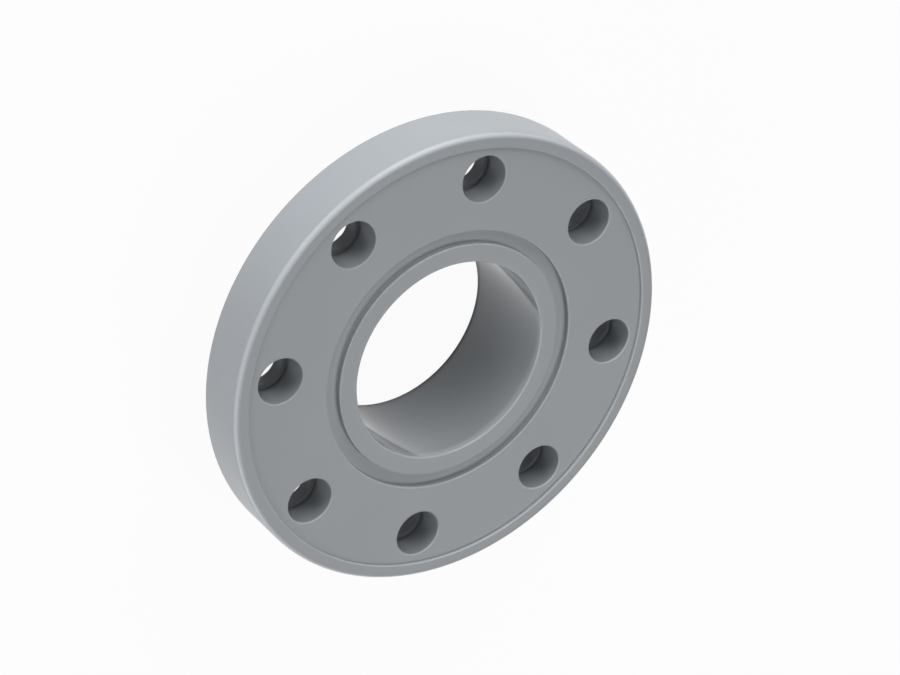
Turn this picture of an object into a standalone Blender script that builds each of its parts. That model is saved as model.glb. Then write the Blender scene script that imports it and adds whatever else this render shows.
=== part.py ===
"""Moulded plastic pipe flange with a hub for the pipe, lying face up.

The flange is one moulding, turned about the Z axis, with stepped bolt holes cut
through it. The origin is the middle of the hub's end, on which the flange lies.
All sizes are in metres.
"""

import math

import bmesh
import bpy
from mathutils import Vector

# Bore for the pipe, from the front face to the hub's end, wider towards that end
BORE_DIAMETER = 0.0877
BORE_LENGTH = 0.0485
BORE_DRAFT = math.radians(0.25)
BORE_EDGE_ROUND = 0.0008
BORE_END_ROUND = 0.0005

# Hub behind the plate
HUB_END_WALL = 0.0036
HUB_DRAFT = math.radians(1.0)
HUB_END_ROUND = 0.0008
HUB_ROOT_ROUND = 0.0050

# Ring of the front face round the bore, and the groove round that ring
RING_WIDTH = 0.0081
GROOVE_WIDTH = 0.0057
GROOVE_DEPTH = 0.0022
GROOVE_EDGE_ROUND = 0.0008
GROOVE_FLOOR_ROUND = 0.0003

# Plate, from the front face to its recessed back
WEB_THICKNESS = 0.0200
EDGE_MARGIN = 0.0200

# Raised rim on the front of the plate
RIM_WIDTH = 0.0062
RIM_RISE = 0.0012
RIM_STEP_ROUND = 0.0006
RIM_OUTER_ROUND = 0.0024

# Raised rim on the back of the plate
BACK_RIM_WIDTH = 0.0070
BACK_RIM_RISE = 0.0030
BACK_RIM_FOOT_ROUND = 0.0012
BACK_RIM_EDGE_ROUND = 0.0006

# Bolt holes, each wide at the front and narrower along its last stretch at the back
BOLT_CIRCLE_DIAMETER = 0.1600
BOLT_COUNT = 8
HOLE_DIAMETER = 0.0200
HOLE_STEP_WIDTH = 0.0015
HOLE_NARROW_LENGTH = 0.0066
HOLE_EDGE_ROUND = 0.0008
HOLE_STEP_ROUND = 0.0005

# How far the cut of a bolt hole runs past the plate's two faces
CUT_OVERRUN = 0.0050

# Grey moulded plastic
PLASTIC_COLOUR = (0.283, 0.301, 0.319, 1.0)
PLASTIC_ROUGHNESS = 0.38

# Fineness of the facets
FLANGE_STEPS = 80
HOLE_STEPS = 24
LARGE_ROUND_SEGMENTS = 4
EDGE_ROUND_SEGMENTS = 2
SMALL_ROUND_SEGMENTS = 1
SMOOTH_ANGLE = math.radians(40.0)
MERGE_DISTANCE = 1e-6

# Heights worked out from these
FACE_HEIGHT = BORE_LENGTH
WEB_BACK_HEIGHT = FACE_HEIGHT - WEB_THICKNESS


def clear_scene():
    """Remove whatever the scene holds."""
    for scene_object in list(bpy.data.objects):
        bpy.data.objects.remove(scene_object, do_unlink=True)


def plastic():
    """The grey plastic that the whole flange is moulded in."""
    material = bpy.data.materials.new("grey_plastic")
    material.use_nodes = True
    shader = material.node_tree.nodes["Principled BSDF"]
    shader.inputs["Base Color"].default_value = PLASTIC_COLOUR
    shader.inputs["Roughness"].default_value = PLASTIC_ROUGHNESS
    shader.inputs["Metallic"].default_value = 0.0
    return material


def corner(radius, height, edge_round=0.0, segments=EDGE_ROUND_SEGMENTS):
    """A corner of an outline: its place, the radius of its arc and the arc's segments."""
    return Vector((radius, height)), edge_round, segments


def arc_points(place, to_last, to_next, reach, segments):
    """Points of the arc that meets both sides of a corner at the reach from it."""
    half_angle = to_last.angle(to_next) / 2.0
    centre = place + (to_last + to_next).normalized() * reach / math.cos(half_angle)
    start = place + to_last * reach - centre
    end = place + to_next * reach - centre
    shares = (step / segments for step in range(segments + 1))
    return [centre + start.slerp(end, share) * start.length for share in shares]


def rounded(corners):
    """Points of a closed outline with a tangent arc at each corner.

    Where a side is too short for the arcs at its two ends, both shrink to fit it.
    """
    count = len(corners)
    sides = [corners[(index + 1) % count][0] - corners[index][0] for index in range(count)]
    reaches = []
    for index, (_, edge_round, _) in enumerate(corners):
        half_angle = (-sides[index - 1]).angle(sides[index]) / 2.0
        reaches.append(edge_round / math.tan(half_angle))
    fits = []
    for index, side in enumerate(sides):
        wanted = reaches[index] + reaches[(index + 1) % count]
        fits.append(side.length / wanted if wanted > side.length else 1.0)

    points = []
    for index, (place, edge_round, segments) in enumerate(corners):
        if edge_round == 0.0:
            points.append(place)
            continue
        to_last = -sides[index - 1].normalized()
        to_next = sides[index].normalized()
        reach = reaches[index] * min(fits[index - 1], fits[index])
        points += arc_points(place, to_last, to_next, reach, segments)
    return points


def spin_outline(mesh, points, centre, steps, meets_axis=False):
    """Turn an outline about the vertical axis through the centre.

    The outline is closed, unless its first and last points lie on the axis.
    """
    vertices = [mesh.verts.new((centre.x + point.x, centre.y, point.y)) for point in points]
    pairs = list(zip(vertices, vertices[1:]))
    if not meets_axis:
        pairs.append((vertices[-1], vertices[0]))
    edges = [mesh.edges.new(pair) for pair in pairs]
    bmesh.ops.spin(
        mesh,
        geom=vertices + edges,
        cent=centre,
        axis=(0.0, 0.0, 1.0),
        angle=2.0 * math.pi,
        steps=steps,
        use_merge=True,
    )


def finished_object(name, mesh):
    """An object of the turned solids in the mesh, closed, facing outward and shaded smooth."""
    bmesh.ops.remove_doubles(mesh, verts=mesh.verts, dist=MERGE_DISTANCE)
    bmesh.ops.recalc_face_normals(mesh, faces=mesh.faces)
    data = bpy.data.meshes.new(name)
    mesh.to_mesh(data)
    mesh.free()
    data.shade_smooth()
    data.set_sharp_from_angle(angle=SMOOTH_ANGLE)
    new_object = bpy.data.objects.new(name, data)
    bpy.context.scene.collection.objects.link(new_object)
    return new_object


def hub_corners():
    """The bore from its front edge to the hub's end, and the hub's outside up to its root."""
    bore_radius = BORE_DIAMETER / 2.0
    bore_end_radius = bore_radius + BORE_LENGTH * math.tan(BORE_DRAFT)
    end_radius = bore_end_radius + HUB_END_WALL
    root_radius = end_radius + WEB_BACK_HEIGHT * math.tan(HUB_DRAFT)
    return [
        corner(bore_radius, FACE_HEIGHT, BORE_EDGE_ROUND),
        corner(bore_end_radius, 0.0, BORE_END_ROUND),
        corner(end_radius, 0.0, HUB_END_ROUND),
        corner(root_radius, WEB_BACK_HEIGHT, HUB_ROOT_ROUND, LARGE_ROUND_SEGMENTS),
    ]


def rim_corners():
    """The plate's edge, with its raised rim on the back and on the front."""
    outer_radius = BOLT_CIRCLE_DIAMETER / 2.0 + EDGE_MARGIN
    back_height = WEB_BACK_HEIGHT - BACK_RIM_RISE
    top_height = FACE_HEIGHT + RIM_RISE
    back_inner_radius = outer_radius - BACK_RIM_WIDTH
    front_inner_radius = outer_radius - RIM_WIDTH
    return [
        corner(back_inner_radius, WEB_BACK_HEIGHT, BACK_RIM_FOOT_ROUND),
        corner(back_inner_radius, back_height, BACK_RIM_EDGE_ROUND),
        corner(outer_radius, back_height, BACK_RIM_EDGE_ROUND),
        corner(outer_radius, top_height, RIM_OUTER_ROUND, LARGE_ROUND_SEGMENTS),
        corner(front_inner_radius, top_height, RIM_STEP_ROUND),
        corner(front_inner_radius, FACE_HEIGHT),
    ]


def groove_corners():
    """The groove in the front face, from its outer edge to its inner one."""
    inner_radius = BORE_DIAMETER / 2.0 + RING_WIDTH
    outer_radius = inner_radius + GROOVE_WIDTH
    floor_height = FACE_HEIGHT - GROOVE_DEPTH
    return [
        corner(outer_radius, FACE_HEIGHT, GROOVE_EDGE_ROUND),
        corner(outer_radius, floor_height, GROOVE_FLOOR_ROUND, SMALL_ROUND_SEGMENTS),
        corner(inner_radius, floor_height, GROOVE_FLOOR_ROUND, SMALL_ROUND_SEGMENTS),
        corner(inner_radius, FACE_HEIGHT, GROOVE_EDGE_ROUND),
    ]


def flange_outline():
    """The section of the flange, from the bore round the hub and the rim to the groove."""
    return rounded(hub_corners() + rim_corners() + groove_corners())


def hole_outline():
    """The section of the space of one bolt hole, flared by the round at each edge."""
    wide_radius = HOLE_DIAMETER / 2.0
    mouth_radius = wide_radius + HOLE_EDGE_ROUND
    narrow_radius = wide_radius - HOLE_STEP_WIDTH
    exit_radius = narrow_radius + HOLE_STEP_ROUND
    step_height = WEB_BACK_HEIGHT + HOLE_NARROW_LENGTH
    above = FACE_HEIGHT + CUT_OVERRUN
    below = WEB_BACK_HEIGHT - CUT_OVERRUN
    return rounded([
        corner(0.0, above),
        corner(mouth_radius, above),
        corner(mouth_radius, FACE_HEIGHT),
        corner(wide_radius, FACE_HEIGHT, HOLE_EDGE_ROUND),
        corner(wide_radius, step_height),
        corner(narrow_radius, step_height, HOLE_STEP_ROUND, SMALL_ROUND_SEGMENTS),
        corner(narrow_radius, WEB_BACK_HEIGHT, HOLE_STEP_ROUND, SMALL_ROUND_SEGMENTS),
        corner(exit_radius, WEB_BACK_HEIGHT),
        corner(exit_radius, below),
        corner(0.0, below),
    ])


def bolt_hole_cutter():
    """The space of all the bolt holes, evenly spaced on the bolt circle."""
    mesh = bmesh.new()
    outline = hole_outline()
    for index in range(BOLT_COUNT):
        turn = 2.0 * math.pi * index / BOLT_COUNT
        centre = Vector((math.cos(turn), math.sin(turn), 0.0)) * BOLT_CIRCLE_DIAMETER / 2.0
        spin_outline(mesh, outline, centre, HOLE_STEPS, meets_axis=True)
    cutter = finished_object("bolt_hole_cutter", mesh)
    cutter.hide_render = True
    cutter.display_type = "WIRE"
    return cutter


def flange():
    """The moulding: the turned section with the bolt holes cut through its plate."""
    mesh = bmesh.new()
    spin_outline(mesh, flange_outline(), Vector((0.0, 0.0, 0.0)), FLANGE_STEPS)
    body = finished_object("flange", mesh)
    body.data.materials.append(plastic())
    holes = body.modifiers.new("bolt_holes", "BOOLEAN")
    holes.operation = "DIFFERENCE"
    holes.solver = "EXACT"
    holes.object = bolt_hole_cutter()
    normals = body.modifiers.new("even_shading", "WEIGHTED_NORMAL")
    normals.keep_sharp = True


clear_scene()
flange()
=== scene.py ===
"""Looks of the moulded plastic pipe flange: its fine surface, plastic, light and camera.

The flange lies on its hub's end with its face up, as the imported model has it. The mesh made
here has that solid's form with finer facets and rounds, and stands for it. All sizes are in
metres.
"""

import math

import bmesh
import bpy
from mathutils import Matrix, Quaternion, Vector


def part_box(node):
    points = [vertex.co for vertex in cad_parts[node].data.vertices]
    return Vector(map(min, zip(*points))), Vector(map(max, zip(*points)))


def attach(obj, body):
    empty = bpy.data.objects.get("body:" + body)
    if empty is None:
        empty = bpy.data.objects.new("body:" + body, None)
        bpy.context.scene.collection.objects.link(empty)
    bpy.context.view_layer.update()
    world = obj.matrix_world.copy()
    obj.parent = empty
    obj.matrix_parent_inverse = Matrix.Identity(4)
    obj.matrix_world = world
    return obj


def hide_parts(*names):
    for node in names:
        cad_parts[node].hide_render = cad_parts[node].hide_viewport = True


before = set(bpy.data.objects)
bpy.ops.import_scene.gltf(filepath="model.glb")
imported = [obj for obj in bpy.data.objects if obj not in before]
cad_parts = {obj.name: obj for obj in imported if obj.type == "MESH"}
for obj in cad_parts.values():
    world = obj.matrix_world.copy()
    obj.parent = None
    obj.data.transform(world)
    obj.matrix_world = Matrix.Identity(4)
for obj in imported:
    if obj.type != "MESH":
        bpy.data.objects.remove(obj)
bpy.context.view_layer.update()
HIGH_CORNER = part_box("flange")[1]

# Bore for the pipe, from the front face to the hub's end, wider towards that end
BORE_RADIUS = 0.04385
BORE_DRAFT = math.radians(0.25)
BORE_EDGE_ROUND = 0.0008
BORE_END_ROUND = 0.0005

# Hub behind the plate
HUB_END_WALL = 0.0036
HUB_DRAFT = math.radians(1.0)
HUB_END_ROUND = 0.0008
HUB_ROOT_ROUND = 0.0050

# Ring of the front face round the bore, and the groove round that ring
RING_WIDTH = 0.0081
GROOVE_WIDTH = 0.0057
GROOVE_DEPTH = 0.0022
GROOVE_EDGE_ROUND = 0.0008
GROOVE_FLOOR_ROUND = 0.0003

# Plate, with its raised rims on the front and the back
WEB_THICKNESS = 0.0200
EDGE_MARGIN = 0.0200
RIM_WIDTH = 0.0062
RIM_RISE = 0.0012
RIM_STEP_ROUND = 0.0006
RIM_OUTER_ROUND = 0.0024
BACK_RIM_WIDTH = 0.0070
BACK_RIM_RISE = 0.0030
BACK_RIM_FOOT_ROUND = 0.0012
BACK_RIM_EDGE_ROUND = 0.0006

# Bolt holes, each wide at the front and narrower along its last stretch at the back
BOLT_COUNT = 8
HOLE_RADIUS = 0.0100
HOLE_STEP_WIDTH = 0.0015
HOLE_NARROW_LENGTH = 0.0066
HOLE_EDGE_ROUND = 0.0008
HOLE_STEP_ROUND = 0.0005
CUT_OVERRUN = 0.0050

# Fineness of the mesh
FLANGE_STEPS = 320
HOLE_STEPS = 96
LARGE_ROUND_SEGMENTS = 10
EDGE_ROUND_SEGMENTS = 6
SMALL_ROUND_SEGMENTS = 3
SMOOTH_ANGLE = math.radians(35.0)
MERGE_DISTANCE = 1e-6

# Grey plastic: its colour from dark to light, and its gloss, which is higher in the bore
PLASTIC_DARK = (0.272, 0.289, 0.306, 1.0)
PLASTIC_LIGHT = (0.292, 0.311, 0.330, 1.0)
PLASTIC_ROUGHNESS_LOW = 0.30
PLASTIC_ROUGHNESS_HIGH = 0.38
PLASTIC_SPECULAR = 0.2
BORE_ROUGHNESS = 0.08
BORE_GLOSS_REACH = 0.0010

# Painted highlight on the rounds along the edges of the face: their colour is made lighter, down to
# a depth below it
EDGE_HIGHLIGHT_COLOUR = (0.375, 0.398, 0.421, 1.0)
EDGE_DEPTH = 0.0012
EDGE_FADE = 0.0004
SLANT_GAIN = 4.0

# Faint clouds in the plastic, its moulded grain and its slight unevenness
CLOUD_SIZE = 0.030
CLOUD_DETAIL = 3.0
GRAIN_SIZE = 0.0006
GRAIN_DETAIL = 2.0
GRAIN_HEIGHT = 0.000008
WAVE_SIZE = 0.022
WAVE_DETAIL = 1.0
WAVE_HEIGHT = 0.00004
NOISE_LOW = 0.3
NOISE_HIGH = 0.7

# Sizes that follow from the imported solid
OUTER_RADIUS = HIGH_CORNER.x
TOP_HEIGHT = HIGH_CORNER.z
FACE_HEIGHT = TOP_HEIGHT - RIM_RISE
WEB_BACK_HEIGHT = FACE_HEIGHT - WEB_THICKNESS
BOLT_CIRCLE_RADIUS = OUTER_RADIUS - EDGE_MARGIN

# Camera, at the photograph's angle to the face and turned about its own view
CAMERA_AIM = Vector((0.01083, 0.00249, FACE_HEIGHT))
CAMERA_AZIMUTH = math.radians(53.338)
CAMERA_ELEVATION = math.radians(46.441)
CAMERA_ROLL = math.radians(128.979)
CAMERA_DISTANCE = 1.2991
CAMERA_LENS = 129.24
SENSOR_WIDTH = 36.0

# Lamp on the floor inside the bore, for the light that a white table throws up into it
BORE_LAMP_WIDTH = 0.086
BORE_LAMP_RISE = 0.001
BORE_LAMP_DEPTH = FACE_HEIGHT - BORE_LAMP_RISE

# Soft lamps, each aimed at the middle of the face: name, shape, azimuth and elevation in degrees,
# distance, width, height and power in watts
LAMPS = (
    ("right_strip", "RECTANGLE", 0.0, 0.5, 1.4, 1.0, 0.12, 9.5),
    ("near_strip", "RECTANGLE", 50.0, 0.5, 1.4, 1.0, 0.12, 11.5),
    ("left_strip", "RECTANGLE", 150.0, 0.5, 1.4, 1.0, 0.12, 9.5),
    ("right_lamp", "RECTANGLE", 0.0, 20.0, 1.4, 0.8, 0.8, 13.5),
    ("left_lamp", "RECTANGLE", 120.0, 20.0, 1.4, 0.8, 0.8, 7.5),
    ("far_lamp", "RECTANGLE", 225.0, 50.0, 1.4, 0.8, 0.8, 7.5),
    ("top_lamp", "RECTANGLE", 0.0, 88.0, 1.4, 0.8, 0.8, 2.5),
    ("bore_lamp", "ELLIPSE", 0.0, -90.0, BORE_LAMP_DEPTH, BORE_LAMP_WIDTH, BORE_LAMP_WIDTH, 0.006),
)
AMBIENT_STRENGTH = 0.02

# White of the background, and the floor: its colour where it is seen and where it throws light
# back at the flange, and how far the seen floor is plain white
WHITE = (1.0, 1.0, 1.0, 1.0)
FLOOR_SIZE = 12.0
FLOOR_COLOUR = (0.80, 0.80, 0.80, 1.0)
FLOOR_BOUNCE = (0.10, 0.10, 0.10, 1.0)
FLOOR_WHITENESS = 0.95


def corner(radius, height, edge_round=0.0, segments=EDGE_ROUND_SEGMENTS):
    """A corner of an outline: its place, the radius of its arc and the arc's segments."""
    return Vector((radius, height)), edge_round, segments


def arc_points(place, to_last, to_next, reach, segments):
    """Points of the arc that meets both sides of a corner at the reach from it."""
    half_angle = to_last.angle(to_next) / 2.0
    centre = place + (to_last + to_next).normalized() * reach / math.cos(half_angle)
    start = place + to_last * reach - centre
    end = place + to_next * reach - centre
    shares = (step / segments for step in range(segments + 1))
    return [centre + start.slerp(end, share) * start.length for share in shares]


def rounded(corners):
    """Points of a closed outline with a tangent arc at each corner.

    Where a side is too short for the arcs at its two ends, both shrink to fit it.
    """
    count = len(corners)
    sides = [corners[(index + 1) % count][0] - corners[index][0] for index in range(count)]
    reaches = []
    for index, (_, edge_round, _) in enumerate(corners):
        half_angle = (-sides[index - 1]).angle(sides[index]) / 2.0
        reaches.append(edge_round / math.tan(half_angle))
    fits = []
    for index, side in enumerate(sides):
        wanted = reaches[index] + reaches[(index + 1) % count]
        fits.append(side.length / wanted if wanted > side.length else 1.0)

    points = []
    for index, (place, edge_round, segments) in enumerate(corners):
        if edge_round == 0.0:
            points.append(place)
            continue
        to_last = -sides[index - 1].normalized()
        to_next = sides[index].normalized()
        reach = reaches[index] * min(fits[index - 1], fits[index])
        points += arc_points(place, to_last, to_next, reach, segments)
    return points


def flange_outline():
    """The section of the flange, from the bore round the hub and the rim to the groove."""
    bore_end_radius = BORE_RADIUS + FACE_HEIGHT * math.tan(BORE_DRAFT)
    hub_end_radius = bore_end_radius + HUB_END_WALL
    hub_root_radius = hub_end_radius + WEB_BACK_HEIGHT * math.tan(HUB_DRAFT)
    back_inner_radius = OUTER_RADIUS - BACK_RIM_WIDTH
    back_height = WEB_BACK_HEIGHT - BACK_RIM_RISE
    front_inner_radius = OUTER_RADIUS - RIM_WIDTH
    groove_inner_radius = BORE_RADIUS + RING_WIDTH
    groove_outer_radius = groove_inner_radius + GROOVE_WIDTH
    groove_height = FACE_HEIGHT - GROOVE_DEPTH
    return rounded([
        corner(BORE_RADIUS, FACE_HEIGHT, BORE_EDGE_ROUND),
        corner(bore_end_radius, 0.0, BORE_END_ROUND),
        corner(hub_end_radius, 0.0, HUB_END_ROUND),
        corner(hub_root_radius, WEB_BACK_HEIGHT, HUB_ROOT_ROUND, LARGE_ROUND_SEGMENTS),
        corner(back_inner_radius, WEB_BACK_HEIGHT, BACK_RIM_FOOT_ROUND),
        corner(back_inner_radius, back_height, BACK_RIM_EDGE_ROUND),
        corner(OUTER_RADIUS, back_height, BACK_RIM_EDGE_ROUND),
        corner(OUTER_RADIUS, TOP_HEIGHT, RIM_OUTER_ROUND, LARGE_ROUND_SEGMENTS),
        corner(front_inner_radius, TOP_HEIGHT, RIM_STEP_ROUND),
        corner(front_inner_radius, FACE_HEIGHT),
        corner(groove_outer_radius, FACE_HEIGHT, GROOVE_EDGE_ROUND),
        corner(groove_outer_radius, groove_height, GROOVE_FLOOR_ROUND, SMALL_ROUND_SEGMENTS),
        corner(groove_inner_radius, groove_height, GROOVE_FLOOR_ROUND, SMALL_ROUND_SEGMENTS),
        corner(groove_inner_radius, FACE_HEIGHT, GROOVE_EDGE_ROUND),
    ])


def hole_outline():
    """The section of the space of one bolt hole, flared by the round at each edge."""
    mouth_radius = HOLE_RADIUS + HOLE_EDGE_ROUND
    narrow_radius = HOLE_RADIUS - HOLE_STEP_WIDTH
    exit_radius = narrow_radius + HOLE_STEP_ROUND
    step_height = WEB_BACK_HEIGHT + HOLE_NARROW_LENGTH
    above = FACE_HEIGHT + CUT_OVERRUN
    below = WEB_BACK_HEIGHT - CUT_OVERRUN
    return rounded([
        corner(0.0, above),
        corner(mouth_radius, above),
        corner(mouth_radius, FACE_HEIGHT),
        corner(HOLE_RADIUS, FACE_HEIGHT, HOLE_EDGE_ROUND),
        corner(HOLE_RADIUS, step_height),
        corner(narrow_radius, step_height, HOLE_STEP_ROUND, SMALL_ROUND_SEGMENTS),
        corner(narrow_radius, WEB_BACK_HEIGHT, HOLE_STEP_ROUND, SMALL_ROUND_SEGMENTS),
        corner(exit_radius, WEB_BACK_HEIGHT),
        corner(exit_radius, below),
        corner(0.0, below),
    ])


def spin_outline(mesh, points, centre, steps, meets_axis=False):
    """Turn an outline about the vertical axis through the centre.

    The outline is closed, unless its first and last points lie on the axis.
    """
    vertices = [mesh.verts.new((centre.x + point.x, centre.y, point.y)) for point in points]
    pairs = list(zip(vertices, vertices[1:]))
    if not meets_axis:
        pairs.append((vertices[-1], vertices[0]))
    edges = [mesh.edges.new(pair) for pair in pairs]
    bmesh.ops.spin(
        mesh,
        geom=vertices + edges,
        cent=centre,
        axis=(0.0, 0.0, 1.0),
        angle=2.0 * math.pi,
        steps=steps,
        use_merge=True,
    )


def finished_object(name, mesh):
    """An object of the turned solids in the mesh, closed and facing outward."""
    bmesh.ops.remove_doubles(mesh, verts=mesh.verts, dist=MERGE_DISTANCE)
    bmesh.ops.recalc_face_normals(mesh, faces=mesh.faces)
    data = bpy.data.meshes.new(name)
    mesh.to_mesh(data)
    mesh.free()
    new_object = bpy.data.objects.new(name, data)
    bpy.context.scene.collection.objects.link(new_object)
    return new_object


def bolt_hole_cutter():
    """The space of all the bolt holes, evenly spaced on the bolt circle."""
    mesh = bmesh.new()
    outline = hole_outline()
    for index in range(BOLT_COUNT):
        turn = 2.0 * math.pi * index / BOLT_COUNT
        centre = Vector((math.cos(turn), math.sin(turn), 0.0)) * BOLT_CIRCLE_RADIUS
        spin_outline(mesh, outline, centre, HOLE_STEPS, meets_axis=True)
    return finished_object("bolt_hole_cutter", mesh)


def cut_away(body, cutter):
    """Cut the cutter's space out of the body for good, and remove the cutter."""
    cut = body.modifiers.new("bolt_holes", "BOOLEAN")
    cut.operation = "DIFFERENCE"
    cut.solver = "EXACT"
    cut.object = cutter
    graph = bpy.context.evaluated_depsgraph_get()
    uncut = body.data
    body.data = bpy.data.meshes.new_from_object(body.evaluated_get(graph))
    body.modifiers.clear()
    bpy.data.meshes.remove(uncut)
    bpy.data.objects.remove(cutter)


def shade_evenly(body):
    """Smooth shading that keeps the flat faces flat and the hard edges hard."""
    body.data.shade_smooth()
    body.data.set_sharp_from_angle(angle=SMOOTH_ANGLE)
    normals = body.modifiers.new("even_shading", "WEIGHTED_NORMAL")
    normals.keep_sharp = True


def moulded_flange():
    """The flange's fine mesh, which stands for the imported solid."""
    mesh = bmesh.new()
    spin_outline(mesh, flange_outline(), Vector((0.0, 0.0, 0.0)), FLANGE_STEPS)
    body = finished_object("moulded_flange", mesh)
    cut_away(body, bolt_hole_cutter())
    shade_evenly(body)
    body.data.materials.clear()
    body.data.materials.append(grey_plastic())
    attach(body, "root")
    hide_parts("flange")


def noise_node(nodes, links, coordinates, feature_size, detail):
    """A noise texture with features of about the given size."""
    noise = nodes.new("ShaderNodeTexNoise")
    noise.inputs["Scale"].default_value = 1.0 / feature_size
    noise.inputs["Detail"].default_value = detail
    links.new(coordinates, noise.inputs["Vector"])
    return noise.outputs["Fac"]


def range_node(nodes, links, value, start, end, low=0.0, high=1.0):
    """A value spread from the range between start and end to the one between low and high."""
    spread = nodes.new("ShaderNodeMapRange")
    spread.inputs["From Min"].default_value = start
    spread.inputs["From Max"].default_value = end
    spread.inputs["To Min"].default_value = low
    spread.inputs["To Max"].default_value = high
    links.new(value, spread.inputs["Value"])
    return spread.outputs["Result"]


def bump_node(nodes, links, height, distance, normal=None):
    """A bump of the given height, over another bump if there is one."""
    bump = nodes.new("ShaderNodeBump")
    bump.inputs["Strength"].default_value = 1.0
    bump.inputs["Distance"].default_value = distance
    links.new(height, bump.inputs["Height"])
    if normal is not None:
        links.new(normal, bump.inputs["Normal"])
    return bump.outputs["Normal"]


def outside_bore(nodes, links, coordinates):
    """0 on the wall of the bore and 1 beyond it, by the distance from the axis."""
    level_parts = (1.0, 1.0, 0.0)
    level = nodes.new("ShaderNodeVectorMath")
    level.operation = "MULTIPLY"
    level.inputs[1].default_value = level_parts
    links.new(coordinates, level.inputs[0])
    radius = nodes.new("ShaderNodeVectorMath")
    radius.operation = "LENGTH"
    links.new(level.outputs["Vector"], radius.inputs[0])
    start = BORE_RADIUS + BORE_EDGE_ROUND / 2.0
    return range_node(nodes, links, radius.outputs["Value"], start, start + BORE_GLOSS_REACH)


def height_part(nodes, links, vector):
    """The upright part of a vector."""
    parts = nodes.new("ShaderNodeSeparateXYZ")
    links.new(vector, parts.inputs["Vector"])
    return parts.outputs["Z"]


def math_node(nodes, links, operation, first, second):
    """The result of an operation on two values, each a socket or a number."""
    result = nodes.new("ShaderNodeMath")
    result.operation = operation
    for socket, value in zip(result.inputs, (first, second)):
        if isinstance(value, float):
            socket.default_value = value
        else:
            links.new(value, socket)
    return result.outputs["Value"]


def painted_edge_highlight(nodes, links, places):
    """1 on the rounds along the edges of the front face, and 0 on all flat faces and walls.

    The square of the normal's upright part, times what it lacks to 1, is 0 on a flat face or a
    wall. It is a quarter on a slope of 45 degrees, which the gain brings to 1. The result is the
    share of the painted highlight that lightens these rounds.
    """
    upright = height_part(nodes, links, places.outputs["Normal"])
    square = math_node(nodes, links, "MULTIPLY", upright, upright)
    lack = math_node(nodes, links, "SUBTRACT", 1.0, square)
    slanted = math_node(nodes, links, "MULTIPLY", square, lack)
    height = height_part(nodes, links, places.outputs["Object"])
    start = FACE_HEIGHT - EDGE_DEPTH
    near_face = range_node(nodes, links, height, start, start + EDGE_FADE, 0.0, SLANT_GAIN)
    return math_node(nodes, links, "MULTIPLY", slanted, near_face)


def colour_mix(nodes, links, share, first, second):
    """A mix of two colours, each a socket or a colour, by a share of the second."""
    mix = nodes.new("ShaderNodeMix")
    mix.data_type = "RGBA"
    links.new(share, mix.inputs["Factor"])
    for name, colour in (("A", first), ("B", second)):
        if isinstance(colour, tuple):
            mix.inputs[name].default_value = colour
        else:
            links.new(colour, mix.inputs[name])
    return mix.outputs["Result"]


def show_mix(nodes, links, share, first, second, output):
    """Send a mix of two shaders, by a share of the second, to the output."""
    mix = nodes.new("ShaderNodeMixShader")
    for socket, value in zip(mix.inputs, (share, first, second)):
        links.new(value, socket)
    links.new(mix.outputs["Shader"], output.inputs["Surface"])


def grey_plastic():
    """Grey moulded plastic, satin, with faint clouds, fine grain and a slight unevenness.

    The rounds along the face's edges carry a painted highlight, which makes their colour a little
    lighter.
    """
    material = bpy.data.materials.new("grey_plastic")
    material.use_nodes = True
    nodes = material.node_tree.nodes
    links = material.node_tree.links
    shader = nodes["Principled BSDF"]
    places = nodes.new("ShaderNodeTexCoord")
    coordinates = places.outputs["Object"]

    clouds = noise_node(nodes, links, coordinates, CLOUD_SIZE, CLOUD_DETAIL)
    plain = colour_mix(nodes, links, clouds, PLASTIC_DARK, PLASTIC_LIGHT)
    # Painted highlight: the colour of the rounds along the face's edges is made lighter
    edges = painted_edge_highlight(nodes, links, places)
    highlighted = colour_mix(nodes, links, edges, plain, EDGE_HIGHLIGHT_COLOUR)
    links.new(highlighted, shader.inputs["Base Color"])

    low, high = PLASTIC_ROUGHNESS_LOW, PLASTIC_ROUGHNESS_HIGH
    satin = range_node(nodes, links, clouds, NOISE_LOW, NOISE_HIGH, low, high)
    roughness = nodes.new("ShaderNodeMix")
    roughness.inputs["A"].default_value = BORE_ROUGHNESS
    links.new(outside_bore(nodes, links, coordinates), roughness.inputs["Factor"])
    links.new(satin, roughness.inputs["B"])
    links.new(roughness.outputs["Result"], shader.inputs["Roughness"])
    shader.inputs["Specular IOR Level"].default_value = PLASTIC_SPECULAR

    wave = noise_node(nodes, links, coordinates, WAVE_SIZE, WAVE_DETAIL)
    grain = noise_node(nodes, links, coordinates, GRAIN_SIZE, GRAIN_DETAIL)
    uneven = bump_node(nodes, links, wave, WAVE_HEIGHT)
    grained = bump_node(nodes, links, grain, GRAIN_HEIGHT, uneven)
    links.new(grained, shader.inputs["Normal"])
    return material


def seen_directly(nodes, links):
    """1 for camera, glossy and transmission rays, and 0 for the rays that light the flange."""
    path = nodes.new("ShaderNodeLightPath")
    seen = path.outputs["Is Camera Ray"]
    for ray in ("Is Glossy Ray", "Is Transmission Ray"):
        seen = math_node(nodes, links, "MAXIMUM", seen, path.outputs[ray])
    return seen


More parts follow.
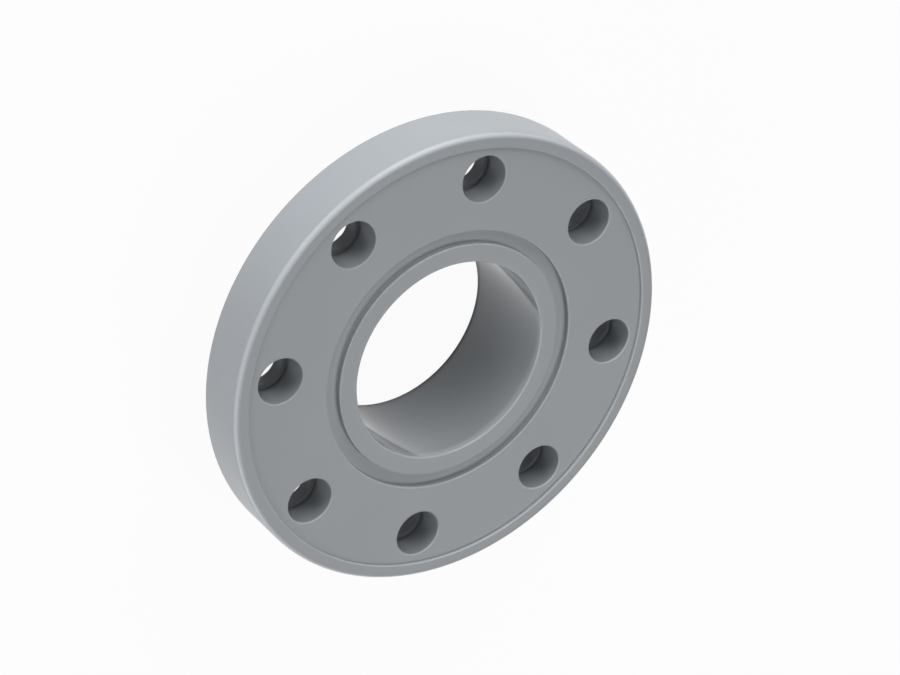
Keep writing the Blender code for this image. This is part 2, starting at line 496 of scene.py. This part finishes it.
def floor():
    """A white floor under the flange that keeps a soft shadow."""
    bpy.ops.mesh.primitive_plane_add(size=FLOOR_SIZE)
    plane = bpy.context.object
    plane.name = "floor"
    material = bpy.data.materials.new("white_floor")
    material.use_nodes = True
    nodes = material.node_tree.nodes
    links = material.node_tree.links
    nodes.clear()
    output = nodes.new("ShaderNodeOutputMaterial")
    seen = seen_directly(nodes, links)
    lit = nodes.new("ShaderNodeBsdfDiffuse")
    links.new(colour_mix(nodes, links, seen, FLOOR_BOUNCE, FLOOR_COLOUR), lit.inputs["Color"])
    white = nodes.new("ShaderNodeEmission")
    white.inputs["Color"].default_value = WHITE
    share = math_node(nodes, links, "MULTIPLY", seen, FLOOR_WHITENESS)
    show_mix(nodes, links, share, lit.outputs["BSDF"], white.outputs["Emission"], output)
    plane.data.materials.append(material)


def direction(azimuth, elevation):
    """The unit vector towards an azimuth, counted from +X, and an elevation."""
    level = math.cos(elevation)
    return Vector((level * math.cos(azimuth), level * math.sin(azimuth), math.sin(elevation)))


def lamps():
    """The soft lamps, which the camera doesn't see."""
    target = Vector((0.0, 0.0, FACE_HEIGHT))
    for name, shape, azimuth, elevation, distance, width, height, power in LAMPS:
        lamp = bpy.data.lights.new(name, "AREA")
        lamp.shape = shape
        lamp.size = width
        lamp.size_y = height
        lamp.energy = power
        holder = bpy.data.objects.new(name, lamp)
        bpy.context.scene.collection.objects.link(holder)
        towards = direction(math.radians(azimuth), math.radians(elevation))
        holder.location = target + towards * distance
        holder.rotation_mode = "QUATERNION"
        holder.rotation_quaternion = (-towards).to_track_quat("-Z", "Y")
        holder.visible_camera = False


def studio_world():
    """White behind the flange, and an even soft light from all sides."""
    world = bpy.data.worlds.new("studio")
    bpy.context.scene.world = world
    world.use_nodes = True
    nodes = world.node_tree.nodes
    links = world.node_tree.links
    nodes.clear()
    output = nodes.new("ShaderNodeOutputWorld")
    ambient = nodes.new("ShaderNodeBackground")
    ambient.inputs["Color"].default_value = WHITE
    ambient.inputs["Strength"].default_value = AMBIENT_STRENGTH
    white = nodes.new("ShaderNodeBackground")
    white.inputs["Color"].default_value = WHITE
    seen = seen_directly(nodes, links)
    show_mix(nodes, links, seen, ambient.outputs["Background"], white.outputs["Background"], output)


def camera():
    """The camera at the photograph's angle to the flange."""
    data = bpy.data.cameras.new("camera")
    data.sensor_width = SENSOR_WIDTH
    data.lens = CAMERA_LENS
    holder = bpy.data.objects.new("camera", data)
    bpy.context.scene.collection.objects.link(holder)
    towards = direction(CAMERA_AZIMUTH, CAMERA_ELEVATION)
    holder.location = CAMERA_AIM + towards * CAMERA_DISTANCE
    holder.rotation_mode = "QUATERNION"
    level_view = (-towards).to_track_quat("-Z", "Y")
    holder.rotation_quaternion = level_view @ Quaternion((0.0, 0.0, 1.0), CAMERA_ROLL)
    bpy.context.scene.camera = holder


bpy.context.scene.view_settings.view_transform = "Standard"
camera()
moulded_flange()
floor()
lamps()
studio_world()
